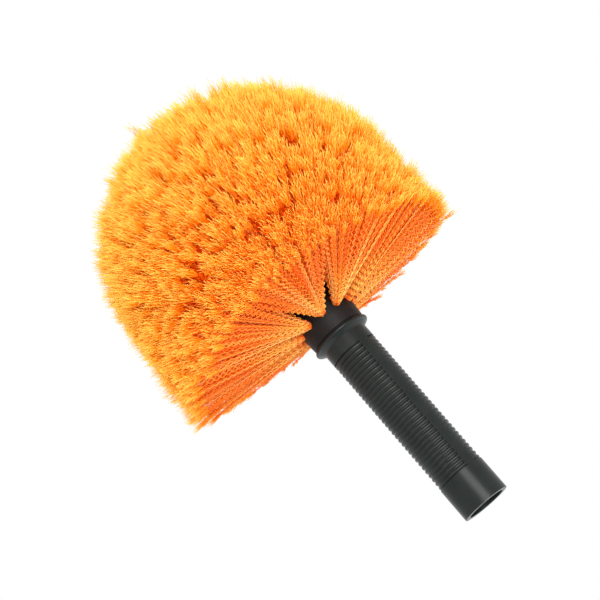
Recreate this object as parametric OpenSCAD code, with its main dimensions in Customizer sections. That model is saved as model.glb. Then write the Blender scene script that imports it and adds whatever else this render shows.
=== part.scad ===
// Cobweb brush: a moulded pole-socket handle that carries a round block,
// set with tufts of crimped filament that fan out into a bell-shaped dome.
// Millimetres. +Z runs up the handle axis to the bristles, and the origin is
// the centre of the open end of the pole socket.

/* [Pole socket] */
// Diameter of the socket bore, for a 15/16 inch broom pole
pole_bore_d = 24; // [18:0.1:29]
// Depth of the socket bore from the open end to the shoulder that stops the pole
socket_depth = 107; // [80:1:108]
// Wall from the bore to the tops of the grip ribs
wall_t = 3; // [2:0.1:3.6]

/* [Handle] */
// Length of the handle from the open end to the top of the flange
handle_len = 131; // [130:0.1:160]
// Length of the plain sleeve at the open end
sleeve_len = 22; // [10:1:28]
// Step from the grip up to the plain sleeve
sleeve_step = 0.2; // [0.1:0.05:1]
// Number of grip ribs
rib_count = 32; // [5:1:32]
// Distance from one grip rib to the next
rib_pitch = 3; // [2.4:0.1:3.1]
// Height of a grip rib above the tube
rib_h = 0.7; // [0.4:0.05:1]
// Width of a grip rib at its foot
rib_w = 2.3; // [1.6:0.1:2.4]
// Width of each smooth lengthwise strip between the ribs
strip_w = 6.4; // [3:0.1:9]
// Direction of the first strip round the axis, from +X, in degrees
strip_angle = -54; // [-180:1:180]

/* [Flange] */
// Width of the flange beyond the foot of the neck
flange_ledge = 1.2; // [0.8:0.1:4]
// Thickness of the rolled rim
flange_rim_h = 2.4; // [1.8:0.1:3]
// Height of the flare from the collar out to the rim
flange_flare_h = 2.2; // [1.5:0.1:3.5]

/* [Bristle block] */
// Height of the neck's taper above the flange
neck_len = 9; // [6:0.1:11]
// Widening of the neck's radius from the flange up to the drum
neck_taper = 0.6; // [0.2:0.1:2]
// Depth of the shadow groove where the neck meets the flange
neck_groove = 0.6; // [0.3:0.1:1]
// Length of the spigot that plugs into the top of the handle
spigot_len = 20; // [14:0.5:21]
// Wall of the cup round the spigot
cup_wall = 3.15; // [2:0.05:4]

/* [Tuft holes] */
// Diameter of a tuft hole in the block
hole_d = 6; // [4.6:0.1:7.4]
// Depth of a tuft hole along its axis
hole_depth = 6; // [5:0.1:7.2]
// Wall between the bottoms of two neighbouring holes of the first ring
hole_web = 1.8; // [1.2:0.1:3]
// Wall between two rings of holes, measured along the block's outline
ring_web = 2.4; // [2.4:0.1:4]
// Plain drum between the neck and the first ring of holes
drum_margin = 1.3; // [0.5:0.1:3]

/* [Bristle dome] */
// Radius of the bristle dome, from the handle axis to the tips
dome_r = 101; // [80:0.1:125]
// Height from the flange to the centre of the dome's round top
dome_height = 75.5; // [60:0.5:95]
// Height from the flange to the dome's rear rim
rim_height = 16.5; // [12:0.5:20]
// Share of each tip cell that a strand's flagged end covers
strand_fill = 0.6; // [0.3:0.05:0.65]
// Half width of a strand at its root
strand_root = 0.42; // [0.3:0.02:0.46]

/* [Anchor chips] */
// How far a chip bites into the wall of the hole on each side
anchor_bite = 0.8; // [0.4:0.1:0.9]
// Thickness of a chip
anchor_t = 0.5; // [0.3:0.1:0.8]
// Height of a chip along the hole
anchor_h = 2; // [1:0.1:2.4]
// Thickness of folded filament between a chip and the bottom of the hole
anchor_floor = 1.2; // [0.6:0.1:1.5]

/* [Snap joint] */
// Height of the snap bead round the spigot
snap_h = 0.6; // [0.3:0.05:0.8]
// Width of the snap bead at its foot
snap_w = 2; // [1.4:0.1:3]
// Distance from the flange down to the middle of the bead
snap_drop = 7; // [5:0.5:9]
// Diameter of the core that hollows the spigot and the block
core_d = 12; // [6:0.5:13]
// Depth of that core above the end of the spigot
core_depth = 30; // [16:0.5:32]

/* [Fits] */
// Radial clearance between the spigot and the cup in the handle
spigot_clear = 0.15; // [0.05:0.05:0.3]
// Radial clearance round a tuft in its hole
tuft_clear = 0.1; // [0.05:0.05:0.2]
// Clearance round an anchor chip in the tuft and in the block
anchor_clear = 0.05; // [0.02:0.01:0.1]
// Gap left under the end of the spigot
end_gap = 0.3; // [0.2:0.1:1]

/* [Hidden] */
eps = 0.01;
round_fn = 96;

// Tufts in each ring, from the rear ring to the single one at the nose
RING_COUNT = [10, 10, 10, 8, 5, 1];
// Angle of each ring's holes above the plane of the flange
HOLE_TILT = [8, 22, 38, 56, 74, 90];
// Turn of each ring about the axis, which staggers it against the last
RING_TURN = [18, 0, 18, 12, 0, 0];
RINGS = len(RING_COUNT);
NOSE = RINGS - 1;
GRID = 3;

function two_digits(n) = str(n < 10 ? "0" : "", n);
function tuft_name(ring, i) = ring == NOSE ? "tuft_nose" : str("tuft_ring", ring + 1, "_", two_digits(i + 1));
function anchor_name(ring) = ring == NOSE ? "anchor_nose" : str("anchors_ring", ring + 1);

// Diameters of the handle
grip_d = pole_bore_d + 2 * wall_t;
tube_d = grip_d - 2 * rib_h;
sleeve_d = grip_d + 2 * sleeve_step;
spigot_d = grip_d - 2 * (cup_wall + spigot_clear);

// The block is as wide as its rear ring of holes needs at their bottoms
block_r = hole_depth + (hole_d + hole_web) / (2 * sin(180 / RING_COUNT[0]));
neck_r = block_r - neck_taper;
flange_r = neck_r + flange_ledge;
rim_r = flange_rim_h / 2;

// Heights along the axis
flange_top = handle_len;
flare_low = flange_top - flange_rim_h - flange_flare_h;
cup_floor = flange_top - spigot_len - end_gap;
ribs_low = sleeve_len;
ribs_high = ribs_low + rib_count * rib_pitch;
rim_z = flange_top + rim_height;
dome_z = flange_top + dome_height;
dome_top = dome_z + dome_r;

// Sweeps of a smooth strip and of the ribs between two strips
rib_arc_r = (pow(rib_w / 2, 2) + pow(rib_h, 2)) / (2 * rib_h);
strip_sweep = 2 * asin(strip_w / grip_d);
rib_sweep = 180 - strip_sweep;

// Rings of holes step evenly up the drum and over the round nose to its pole
first_ring_z = flange_top + neck_len + drum_margin + hole_d / 2;
ring_step = hole_d + ring_web;
nose_arc = PI * block_r / 2;
drum_len = NOSE * ring_step - nose_arc;
nose_z = first_ring_z + drum_len;

// Each ring's tips share a band of the dome, as high as its share of the tufts
function tally(n) = n == 0 ? 0 : RING_COUNT[n - 1] + tally(n - 1);
tuft_count = tally(RINGS);
dome_h = dome_top - rim_z;
function band_low(ring) = rim_z + dome_h * tally(ring) / tuft_count;
function band_h(ring) = dome_h * RING_COUNT[ring] / tuft_count;

// Point [radius, height] on the block's outline, a run of s above the first ring
function outline_point(s) =
    let (turn = (s - drum_len) / block_r * 180 / PI)
    turn <= 0
        ? [block_r, first_ring_z + s]
        : [block_r * cos(turn), nose_z + block_r * sin(turn)];

// Where a tuft leaves the block, and the three directions of its own frame
function around(p, turn) = [p[0] * cos(turn), p[0] * sin(turn), p[1]];
function tuft_turn(ring, i) = RING_TURN[ring] + i * 360 / RING_COUNT[ring];
function tuft_base(ring, i) = around(outline_point(ring * ring_step), tuft_turn(ring, i));
function tuft_axis(ring, i) = around([cos(HOLE_TILT[ring]), sin(HOLE_TILT[ring])], tuft_turn(ring, i));
function tuft_side(ring, i) = [-sin(tuft_turn(ring, i)), cos(tuft_turn(ring, i)), 0];
function tuft_up(ring, i) = around([-sin(HOLE_TILT[ring]), cos(HOLE_TILT[ring])], tuft_turn(ring, i));

// The dome: a straight skirt from the rear rim, then a half ball
function dome_radius(z) = z <= dome_z ? dome_r : sqrt(pow(dome_r, 2) - pow(z - dome_z, 2));
function meridian(z) = z <= dome_z ? z : dome_z + dome_r * asin((z - dome_z) / dome_r) * PI / 180;

// Distance between strand tips [round the axis, up the dome]
nose_step = sqrt(2 * PI * dome_r * dome_h / tuft_count) / GRID;
function ring_spacing(ring) =
    let (low = band_low(ring), high = low + band_h(ring))
    [
        2 * PI * dome_radius((low + high) / 2) / RING_COUNT[ring] / GRID,
        (meridian(high) - meridian(low)) / GRID
    ];
function tip_spacing(ring) = ring == NOSE ? [nose_step, nose_step] : ring_spacing(ring);

// Tip of the strand in column col and row row, each -1, 0 or 1
function nose_tip(col, row) =
    let (x = -row * nose_step, y = col * nose_step)
    [x, y, dome_z + sqrt(pow(dome_r, 2) - x * x - y * y)];
function ring_tip(ring, i, col, row) =
    let (
        stagger = row == 0 ? 1 / 6 : -1 / 12,
        turn = tuft_turn(ring, i) + (col + stagger) / GRID * 360 / RING_COUNT[ring],
        z = band_low(ring) + band_h(ring) * (1 / 2 + row / GRID)
    )
    around([dome_radius(z), z], turn);
function strand_tip(ring, i, col, row) = ring == NOSE ? nose_tip(col, row) : ring_tip(ring, i, col, row);

// Root of that strand, sunk below the mouth of its hole
root_sink = 1;
root_step = (hole_d / 2 - tuft_clear - 2 * strand_root) / sqrt(2);
function strand_start(ring, i, col, row) =
    tuft_base(ring, i)
    + tuft_side(ring, i) * col * root_step
    + tuft_up(ring, i) * row * root_step
    - tuft_axis(ring, i) * root_sink;

// Sections of a strand: how far along it each lies, and its share of the tip's size
SECTION_AT = [0, 0.5, 0.93, 1];
SECTION_WIDE = [0, 0.3, 1, 0.45];
LAST_SECTION = len(SECTION_AT) - 1;
// Flagged ends reach slightly different lengths
LENGTHS = [1, 0.975, 0.99, 0.965];
function strand_length(i, col, row) = LENGTHS[(i * 5 + (col + 1) * 3 + (row + 1) * 2) % len(LENGTHS)];
function section(center, side, up, wide, high) = [
    center - side * wide / 2 - up * high / 3,
    center + side * wide / 2 - up * high / 3,
    center + up * high * 2 / 3
];

// One strand: a three-sided spike that widens to its flagged end
module strand(ring, i, col, row) {
    start = strand_start(ring, i, col, row);
    run = (strand_tip(ring, i, col, row) - start) * strand_length(i, col, row);
    side = tuft_side(ring, i);
    up = tuft_up(ring, i);
    thin = 2 * strand_root;
    tip_size = tip_spacing(ring) * strand_fill;
    points = [
        for (k = [0:LAST_SECTION])
            let (
                wide = thin + (tip_size[0] - thin) * SECTION_WIDE[k],
                high = thin + (tip_size[1] - thin) * SECTION_WIDE[k]
            )
            each section(start + run * SECTION_AT[k], side, up, wide, high)
    ];
    last = 3 * LAST_SECTION;
    sides = [
        for (k = [0:LAST_SECTION - 1])
            for (m = [0:2])
                let (a = 3 * k + m, b = 3 * k + (m + 1) % 3)
                each [[a, a + 3, b], [b, a + 3, b + 3]]
    ];
    polyhedron(points = points, faces = concat([[0, 1, 2]], sides, [[last + 2, last + 1, last]]));
}

// Places what is drawn along +Z, with the mouth of the hole at 0, in a tuft's frame
module at_tuft(ring, i) {
    translate(tuft_base(ring, i))
        rotate([0, 90 - HOLE_TILT[ring], tuft_turn(ring, i)])
            children();
}

// Anchor chip across the fold of a tuft, grown by a clearance where it is a cut
module anchor_shape(grow = 0) {
    translate([0, 0, anchor_floor - hole_depth + anchor_h / 2])
        cube(
            [anchor_t + 2 * grow, hole_d + 2 * anchor_bite + 2 * grow, anchor_h + 2 * grow],
            center = true
        );
}

// Folded root of a tuft, with the slot that its chip presses into it
module tuft_root() {
    difference() {
        translate([0, 0, -hole_depth])
            cylinder(d = hole_d - 2 * tuft_clear, h = hole_depth, $fn = round_fn);
        anchor_shape(anchor_clear);
    }
}

// Tuft of filament: its root in the hole, and the strands that fan out from it
module tuft(ring, i) {
    color("darkorange") {
        at_tuft(ring, i) tuft_root();
        for (col = [-1:1])
            for (row = [-1:1])
                strand(ring, i, col, row);
    }
}

// All the anchor chips of one ring
module anchors(ring) {
    color("silver")
        for (i = [0:RING_COUNT[ring] - 1])
            at_tuft(ring, i) anchor_shape();
}

// Hole for one tuft, with the seat that its anchor chip bites
module tuft_hole(ring, i) {
    at_tuft(ring, i) {
        translate([0, 0, -hole_depth])
            cylinder(d = hole_d, h = hole_depth + block_r, $fn = round_fn);
        anchor_shape(anchor_clear);
    }
}

// Outside of the block: spigot, tapered neck, straight drum and round nose
module block_body() {
    rotate_extrude($fn = round_fn) {
        polygon([
            [0, flange_top - spigot_len],
            [spigot_d / 2, flange_top - spigot_len],
            [spigot_d / 2, flange_top],
            [neck_r - neck_groove, flange_top],
            [neck_r - neck_groove, flange_top + neck_groove],
            [neck_r, flange_top + 2 * neck_groove],
            [block_r, flange_top + neck_len],
            [block_r, nose_z],
            [0, nose_z]
        ]);
        intersection() {
            translate([0, nose_z]) circle(r = block_r, $fn = round_fn);
            translate([0, nose_z - eps]) square(block_r + 1);
        }
    }
}

// Snap bead of the spigot, grown by a clearance where it is the groove in the cup
module snap_ring(grow = 0) {
    foot = spigot_d / 2 - eps;
    middle = flange_top - snap_drop;
    rotate_extrude($fn = round_fn)
        polygon([
            [foot, middle - snap_w / 2 - grow],
            [foot, middle + snap_w / 2 + grow],
            [spigot_d / 2 + snap_h + grow, middle]
        ]);
}

module brush_block() {
    color([0.16, 0.15, 0.15])
        difference() {
            union() {
                block_body();
                snap_ring();
            }
            for (ring = [0:NOSE])
                for (i = [0:RING_COUNT[ring] - 1])
                    tuft_hole(ring, i);
            translate([0, 0, flange_top - spigot_len - 1])
                cylinder(d = core_d, h = core_depth + 1, $fn = round_fn);
        }
}

// Outside of the handle: sleeve, grip, collar, flare and rolled rim
module handle_outline() {
    rim_mid = flange_r - rim_r;
    rotate_extrude($fn = round_fn) {
        polygon([
            [0, 0],
            [sleeve_d / 2, 0],
            [sleeve_d / 2, ribs_low - sleeve_step],
            [grip_d / 2, ribs_low],
            [grip_d / 2, flare_low],
            [rim_mid, flange_top - flange_rim_h],
            [rim_mid, flange_top],
            [0, flange_top]
        ]);
        translate([rim_mid, flange_top - rim_r])
            intersection() {
                circle(r = rim_r, $fn = round_fn);
                translate([0, -rim_r]) square(2 * rim_r);
            }
    }
}

// What is cut away between the ribs, round the half of the grip between two strips
module rib_gaps(turn) {
    rotate([0, 0, turn])
        rotate_extrude(angle = rib_sweep, $fn = round_fn)
            difference() {
                translate([tube_d / 2, ribs_low])
                    square([rib_h + 1, ribs_high - ribs_low]);
                for (k = [0:rib_count - 1])
                    translate([grip_d / 2 - rib_arc_r, ribs_low + (k + 1 / 2) * rib_pitch])
                        circle(r = rib_arc_r, $fn = round_fn);
            }
}

module handle_socket() {
    color([0.2, 0.23, 0.22])
        difference() {
            handle_outline();
            for (half = [0, 180])
                rib_gaps(strip_angle + strip_sweep / 2 + half);
            translate([0, 0, -1])
                cylinder(d = pole_bore_d, h = socket_depth + 1, $fn = round_fn);
            translate([0, 0, cup_floor])
                cylinder(d = spigot_d + 2 * spigot_clear, h = flange_top - cup_floor + 1, $fn = round_fn);
            snap_ring(spigot_clear);
        }
}

handle_socket();
brush_block();
for (ring = [0:NOSE])
    anchors(ring);
for (ring = [0:NOSE])
    for (i = [0:RING_COUNT[ring] - 1])
        tuft(ring, i);
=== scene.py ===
"""Cobweb brush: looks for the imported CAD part. Metres, in the frame of the CAD row."""

import math

import bpy
import numpy as np
from mathutils import Matrix, Vector


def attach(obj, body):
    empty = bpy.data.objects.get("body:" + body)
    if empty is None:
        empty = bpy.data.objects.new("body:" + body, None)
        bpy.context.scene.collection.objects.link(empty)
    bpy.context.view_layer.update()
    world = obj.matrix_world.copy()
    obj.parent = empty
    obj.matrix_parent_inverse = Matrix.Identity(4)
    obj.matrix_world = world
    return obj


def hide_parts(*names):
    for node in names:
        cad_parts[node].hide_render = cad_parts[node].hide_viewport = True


MM = 0.001
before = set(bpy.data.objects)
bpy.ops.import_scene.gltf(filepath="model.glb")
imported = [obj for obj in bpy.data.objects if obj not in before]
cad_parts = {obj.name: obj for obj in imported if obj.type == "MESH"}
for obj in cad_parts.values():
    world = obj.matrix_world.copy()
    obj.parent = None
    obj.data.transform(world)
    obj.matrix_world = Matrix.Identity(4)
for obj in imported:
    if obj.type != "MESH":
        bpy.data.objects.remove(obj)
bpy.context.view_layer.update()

# ---------------------------------------------------------------------------
# Layout of the block and of the dome, in millimetres, as part.scad has it
# ---------------------------------------------------------------------------
RING_COUNT = [10, 10, 10, 8, 5, 1]
HOLE_TILT = [8, 22, 38, 56, 74, 90]
RING_TURN = [18, 0, 18, 12, 0, 0]
RINGS = len(RING_COUNT)
NOSE = RINGS - 1
TUFTS = sum(RING_COUNT)
HOLE_D = 6.0
HOLE_DEPTH = 6.0
HOLE_WEB = 1.8
RING_WEB = 2.4
BLOCK_R = HOLE_DEPTH + (HOLE_D + HOLE_WEB) / (2 * math.sin(math.radians(180 / RING_COUNT[0])))
FLANGE_TOP = 131.0
NECK_LEN = 9
DRUM_MARGIN = 1.3
FIRST_RING_Z = FLANGE_TOP + NECK_LEN + DRUM_MARGIN + HOLE_D / 2
RING_STEP = HOLE_D + RING_WEB
DRUM_LEN = NOSE * RING_STEP - math.pi * BLOCK_R / 2
NOSE_Z = FIRST_RING_Z + DRUM_LEN
DOME_R = 101.0
DOME_Z = FLANGE_TOP + 75.5
RIM_Z = FLANGE_TOP + 16.5
DOME_H = DOME_Z + DOME_R - RIM_Z


def outline_point(s):
    """Radius and height of the block's outline, s along it from the first ring of holes."""
    turn = (s - DRUM_LEN) / BLOCK_R
    if turn <= 0:
        return BLOCK_R, FIRST_RING_Z + s
    return BLOCK_R * math.cos(turn), NOSE_Z + BLOCK_R * math.sin(turn)


def around(radius, z, turn):
    return np.array([radius * math.cos(turn), radius * math.sin(turn), z])


def tuft_frame(ring, i):
    """Mouth of a tuft's hole, and the hole's axis, side and up directions."""
    turn = math.radians(RING_TURN[ring] + i * 360 / RING_COUNT[ring])
    tilt = math.radians(HOLE_TILT[ring])
    base = around(*outline_point(ring * RING_STEP), turn)
    axis = around(math.cos(tilt), math.sin(tilt), turn)
    side = np.array([-math.sin(turn), math.cos(turn), 0.0])
    up = around(-math.sin(tilt), math.cos(tilt), turn)
    return base, axis, side, up, turn


def band(ring):
    """Lowest height of a ring's band of the dome, and the band's height."""
    below = sum(RING_COUNT[:ring])
    return RIM_Z + DOME_H * below / TUFTS, DOME_H * RING_COUNT[ring] / TUFTS


# ---------------------------------------------------------------------------
# Filament
# ---------------------------------------------------------------------------
# One value for each ring, from the rim up to the nose
STRANDS = [100, 78, 150, 150, 150, 150]
STRAND_R = [0.33, 0.33, 0.28, 0.27, 0.27, 0.27]
CRIMP_WAVE = [4.0, 4.0, 3.6, 3.6, 3.6, 3.6]
CRIMP_HIGH = [0.85, 0.85, 0.62, 0.62, 0.62, 0.62]
POINTS_PER_WAVE = [5, 5, 2, 2, 2, 2]
FLAG_FIBRES = [13, 17, 11, 11, 11, 11]
FLAG_WIDE = [4.0, 4.0, 3.3, 3.3, 3.3, 3.3]

# Where strands end: cells a little wider than the tuft's share, with the rim flared
GOLDEN_ANGLE = 2.39996
NOSE_SPREAD = 1.08
CELL_SPREAD = 1.06
CELL_SHAPE = 1.25
CELL_JITTER = 0.45
RIM_FLARE = 2.5
RIM_BELOW = 2
TOP_BELOW = 0.02

# How far the real rim rises at the back and the front and falls at the sides, and how much
# lower the right shoulder and narrower the sides are
RISE_BACK_RIGHT = 13.5
RISE_BACK_LEFT = 17.5
RISE_FRONT = 5.0
FALL_RIGHT = 1.0
FALL_LEFT = 2.2
FALL_ALL = 0.5
LOW_POWER = 1.5
SHOULDER_DROP = 2.0
SHOULDER_X = 30
SHOULDER_Z = 20
SQUEEZE_RIGHT = 0.982
SQUEEZE_LEFT = 0.985

# Locks of strands that lean together, and single stray ones
LOCKS = 13
LOCK_LEAN = 0.12
LOCK_LONG_SD = 0.012
LONG_MEAN = 0.985
LONG_SD = 0.014
STRAY_ABOVE = 0.985
STRAY_SD = 3.5
STRAY_TUFTS = [(0, 6), (0, 9)]
STRAY_DROP = 5.0

# The bend from the hole's axis to the tip, and the point that the tips fan out from
CORE = np.array([0, 0, 160.0])
ROOT_INSET = 0.35
AXIS_SHARE = 0.45
NEAR_REACH = 0.16
FAR_REACH = 0.4
FAR_TURN = 0.15
BEND_STEPS = 41
BEND_START = 0.01
FOOT_INSET = 1.4
MOUTH_INSET = 0.2
FOOT_R = 0.2
MOUTH_R_SHARE = 0.85
MOUTH_R_UNTIL = 0.1

# The crimp, with longer waves in the tufts in front, which the camera looks along
WAVE_MORE_IN_FRONT = 0.55
WAVE_SD = 0.008
PLANE_TURN = 0.9
PLANE_SD = 0.2
PHASE_ACROSS = 1.2
PHASE_SD = 0.25
CRIMP_START = 0.04
ROOT_CRIMP_MORE = 0.15
ROOT_CRIMP_UNTIL = 0.5

# The flagged ends: each strand splits into fine kinked fibres
FLAG_AT = 0.87
FLAG_POINTS = 6
FLAG_R = 0.195
FLAG_TAPER = 0.4
FLAG_SHORTER = 0.014
FLAG_REACH_SD = 0.022
FLAG_REACH_LIMITS = (0.93, 1.02)
FLAG_SPREAD = (0.6, 1.25)
FLAG_CURVE = 0.75
RIM_FLAG = 0.4
RIM_FLAG_UNTIL = 0.6
KINK_IN_PLANE = 1.2
KINK_HIGH = 0.45
WOBBLE_SD = 0.12
WOBBLE_START = 3

# A strand's place in the UV map's X, which picks its tone, and how far its fibres differ
ID_LOW = 0.02
ID_HIGH = 0.98
ID_STEP = 0.02


def unit(v):
    return v / np.maximum(np.linalg.norm(v, axis=-1, keepdims=True), 1e-9)


def tube_arrays(centres, radii, ref, u, v):
    """Three-sided tubes round n paths of p points: vertices, quads and their UVs."""
    n, p, _ = centres.shape
    tangent = unit(np.gradient(centres, axis=1))
    ref = np.broadcast_to(ref[:, None, :], tangent.shape)
    a = unit(ref - tangent * (ref * tangent).sum(-1, keepdims=True))
    b = np.cross(tangent, a)
    rings = []
    for k in range(3):
        angle = 2 * math.pi * k / 3
        rings.append(centres + (a * math.cos(angle) + b * math.sin(angle)) * radii[..., None])
    verts = np.stack(rings, axis=2).reshape(-1, 3)
    grid = np.arange(n * p * 3).reshape(n, p, 3)
    k0 = grid[:, :-1, :]
    k1 = grid[:, 1:, :]
    quads = np.stack([k0, np.roll(k0, -1, axis=2), np.roll(k1, -1, axis=2), k1], axis=-1)
    quads = quads.reshape(-1, 4)
    uu = np.broadcast_to(u[:, None, None], grid.shape).reshape(-1)
    vv = np.broadcast_to(v[..., None], grid.shape).reshape(-1)
    caps = np.concatenate([grid[:, 0, ::-1].reshape(-1, 3), grid[:, -1, :].reshape(-1, 3)])
    return verts, quads, caps, np.stack([uu, vv], axis=-1)


def tube_mesh(name, sets):
    """One mesh from several sets of tubes, with the UV map that its colour is read by."""
    verts, quads, caps, uvs, start = [], [], [], [], 0
    for s in sets:
        verts.append(s[0])
        quads.append(s[1] + start)
        caps.append(s[2] + start)
        uvs.append(s[3])
        start += len(s[0])
    verts = np.concatenate(verts) * MM
    quads = np.concatenate(quads)
    caps = np.concatenate(caps)
    uvs = np.concatenate(uvs)
    loops = np.concatenate([quads.reshape(-1), caps.reshape(-1)]).astype(np.int32)
    starts = np.concatenate(
        [np.arange(len(quads)) * 4, len(quads) * 4 + np.arange(len(caps)) * 3]
    ).astype(np.int32)
    mesh = bpy.data.meshes.new(name)
    mesh.vertices.add(len(verts))
    mesh.vertices.foreach_set("co", verts.astype(np.float32).reshape(-1))
    mesh.loops.add(len(loops))
    mesh.loops.foreach_set("vertex_index", loops)
    mesh.polygons.add(len(starts))
    mesh.polygons.foreach_set("loop_start", starts)
    mesh.update(calc_edges=True)
    layer = mesh.uv_layers.new(name="OFBake")
    layer.uv.foreach_set("vector", uvs[loops].astype(np.float32).reshape(-1))
    mesh.polygons.foreach_set("use_smooth", np.ones(len(starts), dtype=bool))
    return mesh


def disc_from_square(a, b):
    """Spreads points of the square -1..1 evenly over the unit disc."""
    return a * np.sqrt(1 - b * b / 2), b * np.sqrt(1 - a * a / 2)


def cell_points(ring, i, turn, rng, count):
    """Where count strands of a tuft end on the dome, and their places in the tuft."""
    if ring == NOSE:
        k = np.arange(count)
        rad = np.sqrt((k + 0.5) / count)
        ang = k * GOLDEN_ANGLE
        a, b = rad * np.cos(ang), rad * np.sin(ang)
        reach = math.sqrt(DOME_H / TUFTS * 2 * DOME_R) * NOSE_SPREAD
        x, y = a * reach, b * reach
        z = DOME_Z + np.sqrt(DOME_R**2 - x * x - y * y)
        return np.stack([x, y, z], axis=-1), a, b
    low, high = band(ring)
    rows = int(round(math.sqrt(count / CELL_SHAPE)))
    cols = int(math.ceil(count / rows))
    k = np.arange(count)
    row, col = k // cols, k % cols
    stagger = 0.5 * (row % 2) - 0.25
    a = (col + 0.5 + stagger + rng.uniform(-CELL_JITTER, CELL_JITTER, count)) / cols * 2 - 1
    b = (row + 0.5 + rng.uniform(-CELL_JITTER, CELL_JITTER, count)) / rows * 2 - 1
    phi = turn + a * CELL_SPREAD * math.pi / RING_COUNT[ring]
    z = low + high * (b * CELL_SPREAD + 1) / 2
    z = np.minimum(np.maximum(z, RIM_Z - RIM_BELOW), DOME_Z + DOME_R - TOP_BELOW)
    radius = np.where(
        z <= DOME_Z,
        DOME_R + RIM_FLARE * (DOME_Z - z) / (DOME_Z - RIM_Z),
        np.sqrt(np.maximum(DOME_R**2 - np.maximum(z - DOME_Z, 0) ** 2, 0)),
    )
    return np.stack([radius * np.cos(phi), radius * np.sin(phi), z], axis=-1), a, b


def settle(tips):
    """The real dome is uneven: a wavy rim, a lower right shoulder and narrower sides."""
    low = np.clip((DOME_Z - tips[:, 2]) / (DOME_Z - RIM_Z), 0, 1) ** LOW_POWER
    tips = tips.copy()
    back = np.where(tips[:, 0] > 0, RISE_BACK_RIGHT, RISE_BACK_LEFT)
    slope = np.where(tips[:, 1] > 0, back, -RISE_FRONT)
    tilt = np.where(tips[:, 0] > 0, -FALL_RIGHT, FALL_LEFT)
    tips[:, 2] += low * ((tilt * tips[:, 0] + slope * tips[:, 1]) / DOME_R - FALL_ALL)
    shoulder = np.clip(tips[:, 0] / SHOULDER_X, 0, 1)
    shoulder = shoulder * np.clip((tips[:, 2] - DOME_Z) / SHOULDER_Z, 0, 1)
    tips[:, 2] -= SHOULDER_DROP * shoulder
    tips[:, 0] *= np.where(tips[:, 0] > 0, SQUEEZE_RIGHT, SQUEEZE_LEFT)
    return tips


def loosen(tips, ring, i, rng):
    """Tips drawn into locks, with uneven lengths and a few strays; and each one's lock."""
    count = len(tips)
    centres = rng.choice(count, LOCKS, replace=False)
    lock = np.argmin(((tips[:, None, :] - tips[None, centres, :]) ** 2).sum(-1), axis=1)
    lock_mid = np.stack([tips[lock == k].mean(axis=0) for k in range(LOCKS)])
    tips = tips + (lock_mid[lock] - tips) * LOCK_LEAN
    lock_long = rng.normal(0, LOCK_LONG_SD, LOCKS)
    long = LONG_MEAN + lock_long[lock] + rng.normal(0, LONG_SD, count)
    stray = rng.uniform(0, 1, count) > STRAY_ABOVE
    tips = tips + np.where(stray[:, None], rng.normal(0, STRAY_SD, (count, 3)), 0)
    if (ring, i) in STRAY_TUFTS:
        tips[np.argmin(tips[:, 2]), 2] -= STRAY_DROP
    return CORE + (tips - CORE) * long[:, None], lock


def even_bend(root, near, far, tips):
    """Each strand's bend as a function of shares of its own length, and the lengths."""

    def bend(t):
        t = t[..., None]
        s = 1 - t
        return (
            s**3 * root[:, None, :]
            + 3 * s * s * t * near[:, None, :]
            + 3 * s * t * t * far[:, None, :]
            + t**3 * tips[:, None, :]
        )

    count = len(root)
    steps = np.linspace(0, 1, BEND_STEPS)
    knots = bend(np.broadcast_to(steps, (count, BEND_STEPS)))
    runs = np.cumsum(np.linalg.norm(np.diff(knots, axis=1), axis=2), axis=1)
    length = runs[:, -1]
    runs = np.concatenate([np.zeros((count, 1)), runs / length[:, None]], axis=1)

    def along(t):
        return bend(np.stack([np.interp(t[k], runs[k], steps) for k in range(count)]))

    return along, length


def crimp_of(ring, tuft, heading, length, lock, a, rng):
    """The crimp of each strand as a function of shares of its length, and its plane."""
    _, _, side, up, turn = tuft
    count = len(length)
    front = max(0.0, -math.sin(turn)) ** 2
    wave = CRIMP_WAVE[ring] * (1 + WAVE_MORE_IN_FRONT * front)
    wave = wave * (1 + rng.normal(0, WAVE_SD, count))
    lock_turn = rng.uniform(-PLANE_TURN, PLANE_TURN, LOCKS)[lock][:, None]
    flat = side * np.cos(lock_turn) + up * np.sin(lock_turn)
    flat = flat + rng.normal(0, PLANE_SD, (count, 3))
    flat = unit(flat - heading * (flat * heading).sum(-1, keepdims=True))
    phase = rng.uniform(0, 2 * math.pi) + PHASE_ACROSS * a + rng.normal(0, PHASE_SD, count)

    def crimp(t):
        angle = 2 * math.pi * t * (length / wave)[:, None] + phase[:, None]
        more = ROOT_CRIMP_MORE * (1 - np.clip(t / ROOT_CRIMP_UNTIL, 0, 1))
        grow = np.clip(t / CRIMP_START, 0, 1) * (1 + more)
        return flat[:, None, :] * (np.sin(angle) * CRIMP_HIGH[ring] * grow)[..., None]

    return crimp, flat


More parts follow.
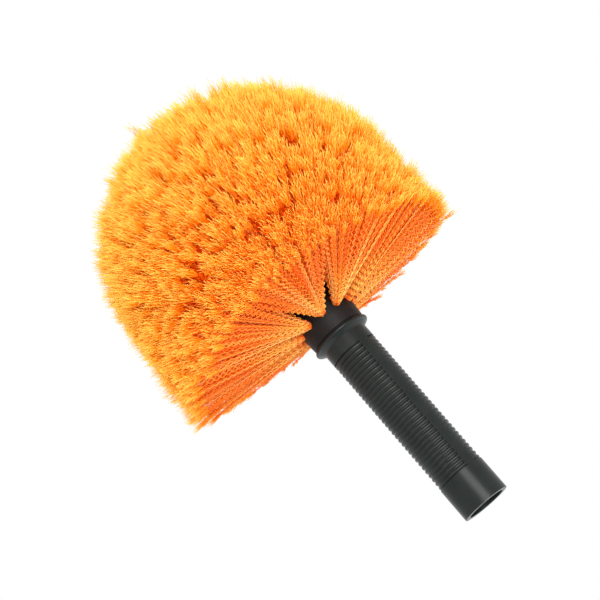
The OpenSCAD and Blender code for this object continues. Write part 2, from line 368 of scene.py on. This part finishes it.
def flag_tubes(ring, b, along, length, heading, crimp, flat, ident, rng):
    """Tubes of the fine fibres that the strands' ends split into."""
    count, fibres = len(length), FLAG_FIBRES[ring]
    grow = np.linspace(0, 1, FLAG_POINTS)
    reach = 1 + rng.normal(-FLAG_SHORTER, FLAG_REACH_SD, (count, fibres))
    reach = np.clip(reach, *FLAG_REACH_LIMITS)
    t = FLAG_AT + (reach[..., None] - FLAG_AT) * grow
    mid = along(t.reshape(count, -1)).reshape(count, fibres, FLAG_POINTS, 3)

    # Past the tip a fibre runs straight on
    end = along(np.ones((count, 1)))[:, None, :, :]
    beyond = np.maximum(t - 1, 0)[..., None] * length[:, None, None, None]
    mid = np.where(t[..., None] > 1, end + heading[:, None, None, :] * beyond, mid)
    offset = crimp(np.full((count, 1), FLAG_AT))[:, None, :, :]
    mid = mid + offset * (1 - grow)[None, None, :, None]

    # They spread round the strand, less so under the rim, which is trimmed clean
    across = unit(np.cross(heading, flat))
    number = np.arange(fibres)
    around_it = rng.uniform(0, 2 * math.pi, (count, 1)) + number * GOLDEN_ANGLE
    far = np.sqrt((number + 0.5) / fibres) * rng.uniform(*FLAG_SPREAD, (count, fibres))
    far = far * FLAG_WIDE[ring]
    if ring == 0:
        above = np.clip((b + 1) / RIM_FLAG_UNTIL, 0, 1)
        far = far * (RIM_FLAG + (1 - RIM_FLAG) * above)[:, None]
    spread = flat[:, None, :] * np.cos(around_it)[..., None]
    spread = (spread + across[:, None, :] * np.sin(around_it)[..., None]) * far[..., None]
    mid = mid + spread[:, :, None, :] * (grow**FLAG_CURVE)[None, None, :, None]

    # Kinks, from side to side along each fibre
    kink = unit(rng.normal(0, 1, (count, fibres, 3)) + KINK_IN_PLANE * flat[:, None, :])
    soft_start = np.minimum(grow * WOBBLE_START, 1)
    zig = np.where(np.arange(FLAG_POINTS) % 2 == 0, 1.0, -1.0) * soft_start
    wobble = kink[:, :, None, :] * zig[None, None, :, None] * KINK_HIGH
    loose = rng.normal(0, WOBBLE_SD, (count, fibres, FLAG_POINTS, 3))
    wobble = wobble + loose * soft_start[:, None]
    mid = (mid + wobble).reshape(count * fibres, FLAG_POINTS, 3)
    v = t.reshape(count * fibres, FLAG_POINTS)
    radii = np.broadcast_to(FLAG_R * (1 - FLAG_TAPER * grow**2), v.shape)
    u = np.repeat(ident, fibres) + rng.uniform(-ID_STEP, ID_STEP, count * fibres)
    return tube_arrays(mid, radii, np.repeat(flat, fibres, axis=0), u, np.clip(v, 0, 1))


def tuft_mesh(ring, i, seed):
    """One tuft: crimped strands from its hole to its cell of the dome, with flagged ends."""
    rng = np.random.default_rng(seed)
    tuft = tuft_frame(ring, i)
    base, axis, side, up, turn = tuft
    count = STRANDS[ring]
    tips, a, b = cell_points(ring, i, turn, rng, count)
    tips, lock = loosen(settle(tips), ring, i, rng)

    # Roots fill the hole, and each strand bends from its axis towards its tip
    ra, rb = disc_from_square(np.clip(a, -1, 1), np.clip(b, -1, 1))
    root_r = HOLE_D / 2 - ROOT_INSET
    root = base + (side * ra[:, None] + up * rb[:, None]) * root_r
    run = tips - root
    chord = np.linalg.norm(run, axis=1)
    heading = run / chord[:, None]
    out = unit(AXIS_SHARE * axis + (1 - AXIS_SHARE) * heading)
    near = root + out * (chord * NEAR_REACH)[:, None]
    last = unit(heading + FAR_TURN * unit(tips - CORE))
    far = tips - last * (chord * FAR_REACH)[:, None]
    along, length = even_bend(root, near, far, tips)
    crimp, flat = crimp_of(ring, tuft, heading, length, lock, a, rng)

    waves = float(np.mean(length)) * FLAG_AT / CRIMP_WAVE[ring]
    points = int(waves * POINTS_PER_WAVE[ring]) + 1
    t = np.broadcast_to(np.linspace(BEND_START, FLAG_AT, points), (count, points))
    path = along(t) + crimp(t)
    foot = root - axis * (HOLE_DEPTH - FOOT_INSET)
    mouth = root - axis * MOUTH_INSET
    path = np.concatenate([foot[:, None, :], mouth[:, None, :], path], axis=1)
    v = np.concatenate([np.zeros((count, 2)), t], axis=1)
    full = np.clip(v / MOUTH_R_UNTIL, 0, 1)
    radii = STRAND_R[ring] * (MOUTH_R_SHARE + (1 - MOUTH_R_SHARE) * full)
    radii[:, :2] = FOOT_R
    ident = rng.uniform(ID_LOW, ID_HIGH, count)
    strands = tube_arrays(path, radii, flat, ident, v)
    flags = flag_tubes(ring, b, along, length, heading, crimp, flat, ident, rng)
    return tube_mesh("filament_%d_%02d" % (ring + 1, i + 1), [strands, flags])


# ---------------------------------------------------------------------------
# Materials
# ---------------------------------------------------------------------------
def material(name):
    mat = bpy.data.materials.new(name)
    mat.use_nodes = True
    nodes = mat.node_tree.nodes
    nodes.clear()
    out = nodes.new("ShaderNodeOutputMaterial")
    bsdf = nodes.new("ShaderNodeBsdfPrincipled")
    mat.node_tree.links.new(bsdf.outputs[0], out.inputs[0])
    return mat, nodes, mat.node_tree.links, bsdf


def ramp(nodes, stops):
    node = nodes.new("ShaderNodeValToRGB")
    points = node.color_ramp.elements
    while len(points) < len(stops):
        points.new(0.5)
    for point, (at, colour) in zip(points, stops):
        point.position = at
        point.color = (*colour, 1)
    return node


def map_range(nodes, links, value, low, high, start=0.0, end=1.0):
    """A value between start and end becomes one between low and high."""
    node = nodes.new("ShaderNodeMapRange")
    node.inputs["From Min"].default_value = start
    node.inputs["From Max"].default_value = end
    node.inputs["To Min"].default_value = low
    node.inputs["To Max"].default_value = high
    links.new(value, node.inputs["Value"])
    return node.outputs[0]


def combine(nodes, links, operation, one, other):
    node = nodes.new("ShaderNodeMath")
    node.operation = operation
    links.new(one, node.inputs[0])
    links.new(other, node.inputs[1])
    return node.outputs[0]


def bump(nodes, links, height, strength, distance):
    node = nodes.new("ShaderNodeBump")
    node.inputs["Strength"].default_value = strength
    node.inputs["Distance"].default_value = distance
    links.new(height, node.inputs["Height"])
    return node.outputs[0]


def noise(nodes, links, coords, scale, detail=3.0, rough=0.55):
    node = nodes.new("ShaderNodeTexNoise")
    node.inputs["Scale"].default_value = scale
    node.inputs["Detail"].default_value = detail
    node.inputs["Roughness"].default_value = rough
    links.new(coords, node.inputs["Vector"])
    return node.outputs["Fac"]


STRAND_NOISE = 913.0
# Painted highlight: the pale tone of strands that light seems to shine through
PAINTED_HIGHLIGHT = (1.0, 0.52, 0.17, 1)


def filament_material(name, painted_middle_shade, gloss):
    """Orange filament, coloured along its length by UV Y, which paints shade and light into it,
    and from strand to strand by UV X.
    """
    mat, nodes, links, bsdf = material(name)
    uv = nodes.new("ShaderNodeUVMap")
    uv.uv_map = "OFBake"
    split = nodes.new("ShaderNodeSeparateXYZ")
    links.new(uv.outputs[0], split.inputs[0])
    strand, place = split.outputs["X"], split.outputs["Y"]
    # Painted shade and light along the strand: painted shade, deep red, at the root in the hole,
    # in the middle of the pile and just short of the tips; painted light, paler, near the block
    # and at the tips
    along = ramp(
        nodes,
        [
            (0.0, (0.95, 0.16, 0.0)),
            (0.1, (1.0, 0.43, 0.06)),
            (0.3, (1.0, 0.38, 0.04)),
            (0.5, painted_middle_shade),
            (0.86, painted_middle_shade),
            (0.94, (1.0, 0.35, 0.004)),
            (1.0, (1.0, 0.61, 0.09)),
        ],
    )
    links.new(place, along.inputs[0])
    white = nodes.new("ShaderNodeTexWhiteNoise")
    white.noise_dimensions = "1D"
    scaled = nodes.new("ShaderNodeMath")
    scaled.operation = "MULTIPLY"
    scaled.inputs[1].default_value = STRAND_NOISE
    links.new(strand, scaled.inputs[0])
    links.new(scaled.outputs[0], white.inputs["W"])
    chance = white.outputs["Value"]
    hsv = nodes.new("ShaderNodeHueSaturation")
    links.new(along.outputs[0], hsv.inputs["Color"])
    links.new(map_range(nodes, links, chance, low=0.98, high=1.0), hsv.inputs["Value"])
    links.new(map_range(nodes, links, chance, low=0.484, high=0.512), hsv.inputs["Hue"])

    # Painted highlight: nearly half of the strands and fibres are painted paler, one in five
    # fully, as if light shone through them, and most of all near the block, where they stand
    # apart
    painted_highlight_chance = map_range(nodes, links, chance, low=0.0, high=0.7, start=0.55, end=0.8)
    painted_highlight_near_block = map_range(nodes, links, place, low=1.0, high=0.3, start=0.3, end=0.85)
    share = combine(nodes, links, "MULTIPLY", painted_highlight_chance, painted_highlight_near_block)
    painted_highlight_mix = nodes.new("ShaderNodeMix")
    painted_highlight_mix.data_type = "RGBA"
    painted_highlight_mix.inputs["B"].default_value = PAINTED_HIGHLIGHT
    links.new(share, painted_highlight_mix.inputs["Factor"])
    links.new(hsv.outputs[0], painted_highlight_mix.inputs["A"])
    links.new(painted_highlight_mix.outputs["Result"], bsdf.inputs["Base Color"])
    bsdf.inputs["Roughness"].default_value = 0.42
    bsdf.inputs["IOR"].default_value = 1.3
    bsdf.inputs["Specular IOR Level"].default_value = gloss
    return mat


def plastic_material(name, dark, pale, rough):
    """Moulded black plastic with faint blotches, a rubbed gloss and a fine grain."""
    mat, nodes, links, bsdf = material(name)
    coords = nodes.new("ShaderNodeTexCoord").outputs["Object"]
    shade = ramp(nodes, [(0.3, dark), (0.7, pale)])
    links.new(noise(nodes, links, coords, scale=55.0, detail=4.0, rough=0.6), shade.inputs[0])
    links.new(shade.outputs[0], bsdf.inputs["Base Color"])
    rub = noise(nodes, links, coords, scale=220.0, detail=5.0, rough=0.6)
    rub = map_range(nodes, links, rub, low=rough - 0.06, high=rough + 0.08)
    links.new(rub, bsdf.inputs["Roughness"])
    grain = noise(nodes, links, coords, scale=1900.0, detail=3.0, rough=0.6)
    links.new(bump(nodes, links, grain, strength=0.35, distance=0.06 * MM), bsdf.inputs["Normal"])
    bsdf.inputs["IOR"].default_value = 1.30
    return mat


def steel_material():
    """Bright plated steel, for the chips that hold the tufts."""
    mat, nodes, links, bsdf = material("plated_steel_bright")
    coords = nodes.new("ShaderNodeTexCoord").outputs["Object"]
    shade = ramp(nodes, [(0.35, (0.56, 0.57, 0.60)), (0.7, (0.70, 0.70, 0.71))])
    links.new(noise(nodes, links, coords, scale=400.0, detail=4.0), shade.inputs[0])
    links.new(shade.outputs[0], bsdf.inputs["Base Color"])
    rub = noise(nodes, links, coords, scale=900.0, detail=4.0)
    rub = map_range(nodes, links, rub, low=0.24, high=0.42)
    links.new(rub, bsdf.inputs["Roughness"])
    grain = noise(nodes, links, coords, scale=3000.0, detail=2.0)
    links.new(bump(nodes, links, grain, strength=0.2, distance=0.03 * MM), bsdf.inputs["Normal"])
    bsdf.inputs["Metallic"].default_value = 1.0
    return mat


def dress(name, mat):
    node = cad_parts[name]
    if not node.material_slots:
        node.data.materials.append(mat)
    for slot in node.material_slots:
        slot.material = mat


handle_mat = plastic_material(
    "handle_plastic_satin", (0.005, 0.0075, 0.007), (0.010, 0.0135, 0.0125), 0.29
)
block_mat = plastic_material(
    "block_plastic_matte", (0.003, 0.003, 0.003), (0.006, 0.0055, 0.0055), 0.50
)
steel_mat = steel_material()
dress("handle_socket", handle_mat)
dress("brush_block", block_mat)
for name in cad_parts:
    if name.startswith("anchor"):
        dress(name, steel_mat)

# The lowest ring shows its sides and has a paler middle, painted light where the lamps fall on
# them; the others show flagged ends, with deeper painted shade in the middle
rim_mat = filament_material("orange_filament_rim", (1.0, 0.25, 0.016), 0.2)
dome_mat = filament_material("orange_filament_dome", (1.0, 0.20, 0.0), 0.05)
seed = 1
for ring in range(RINGS):
    for i in range(RING_COUNT[ring]):
        node = "tuft_nose" if ring == NOSE else "tuft_ring%d_%02d" % (ring + 1, i + 1)
        mesh = tuft_mesh(ring, i, seed)
        seed += 1
        piece = bpy.data.objects.new("filament_" + node, mesh)
        bpy.context.scene.collection.objects.link(piece)
        mesh.materials.append(rim_mat if ring == 0 else dome_mat)
        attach(piece, "root")
        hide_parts(node)

# ---------------------------------------------------------------------------
# Floor, light and camera
# ---------------------------------------------------------------------------
scene = bpy.context.scene
scene.view_settings.view_transform = "Standard"
# A deep pile of bright filament turns brown and dark with fewer bounces
scene.cycles.max_bounces = 30
scene.cycles.diffuse_bounces = 28

floor_mat, nodes, links, bsdf = material("pale_floor")
coords = nodes.new("ShaderNodeTexCoord").outputs["Object"]
pale = ramp(nodes, [(0.3, (0.86, 0.86, 0.86)), (0.7, (0.9, 0.9, 0.9))])
links.new(noise(nodes, links, coords, scale=6.0), pale.inputs[0])
links.new(pale.outputs[0], bsdf.inputs["Base Color"])
bsdf.inputs["Roughness"].default_value = 0.9
mesh = bpy.data.meshes.new("floor")
FLOOR_Z, FLOOR_HALF = -0.42, 6.0
mesh.from_pydata(
    [(x * FLOOR_HALF, y * FLOOR_HALF, FLOOR_Z) for x, y in ((-1, -1), (1, -1), (1, 1), (-1, 1))],
    [],
    [(0, 1, 2, 3)],
)
mesh.materials.append(floor_mat)
floor = bpy.data.objects.new("floor", mesh)
scene.collection.objects.link(floor)

world = bpy.data.worlds.new("studio")
scene.world = world
world.use_nodes = True
nodes, links = world.node_tree.nodes, world.node_tree.links
nodes.clear()
out = nodes.new("ShaderNodeOutputWorld")
rays = nodes.new("ShaderNodeLightPath").outputs
seen = combine(nodes, links, "MAXIMUM", rays["Is Camera Ray"], rays["Is Glossy Ray"])
seen = combine(nodes, links, "MAXIMUM", seen, rays["Is Transmission Ray"])
mix = nodes.new("ShaderNodeMixShader")
links.new(seen, mix.inputs[0])

# White, and a little stronger as a light than where it is seen
for socket, strength in ((1, 1.1), (2, 1.0)):
    background = nodes.new("ShaderNodeBackground")
    background.inputs["Color"].default_value = (1, 1, 1, 1)
    background.inputs["Strength"].default_value = strength
    links.new(background.outputs[0], mix.inputs[socket])
links.new(mix.outputs[0], out.inputs[0])

# Camera: 17 degrees up towards the brush, rolled so that the handle runs to the lower right
TILT = math.radians(17)
ROLL = math.radians(40.8)
CAMERA_AT = Vector((-4.5, -807.1, -82.6))
CAMERA_LENS = 84
LAMPS_AIM_AT = Vector((0, 0, 0.17))
forward = Vector((0, math.cos(TILT), math.sin(TILT)))
part_up = Vector((0, -math.sin(TILT), math.cos(TILT)))
part_right = Vector((1, 0, 0))
cam_x = math.cos(ROLL) * part_right - math.sin(ROLL) * part_up
cam_y = math.sin(ROLL) * part_right + math.cos(ROLL) * part_up
camera_data = bpy.data.cameras.new("camera")
camera_data.lens = CAMERA_LENS
camera_data.sensor_width = 36
camera = bpy.data.objects.new("camera", camera_data)
scene.collection.objects.link(camera)
spin = Matrix((cam_x, cam_y, -forward)).transposed()
camera.matrix_world = Matrix.Translation(CAMERA_AT * MM) @ spin.to_4x4()
scene.camera = camera


def lamp(name, toward, distance, size, watts):
    """A soft square lamp in the camera's own directions: right, up and towards the camera."""
    data = bpy.data.lights.new(name, "AREA")
    data.shape = "SQUARE"
    data.size = size
    data.energy = watts
    lamp_object = bpy.data.objects.new(name, data)
    scene.collection.objects.link(lamp_object)
    aim = (cam_x * toward[0] + cam_y * toward[1] - forward * toward[2]).normalized()
    lamp_object.location = LAMPS_AIM_AT + aim * distance
    lamp_object.rotation_euler = aim.to_track_quat("Z", "Y").to_euler()


lamp("key", toward=(0.18, 0.26, 0.95), distance=1.3, size=0.75, watts=15.0)
lamp("fill", toward=(-0.8, 0.4, 0.6), distance=1.4, size=1.0, watts=8.0)
lamp("back", toward=(-0.35, 0.6, -0.72), distance=1.4, size=1.0, watts=12.0)
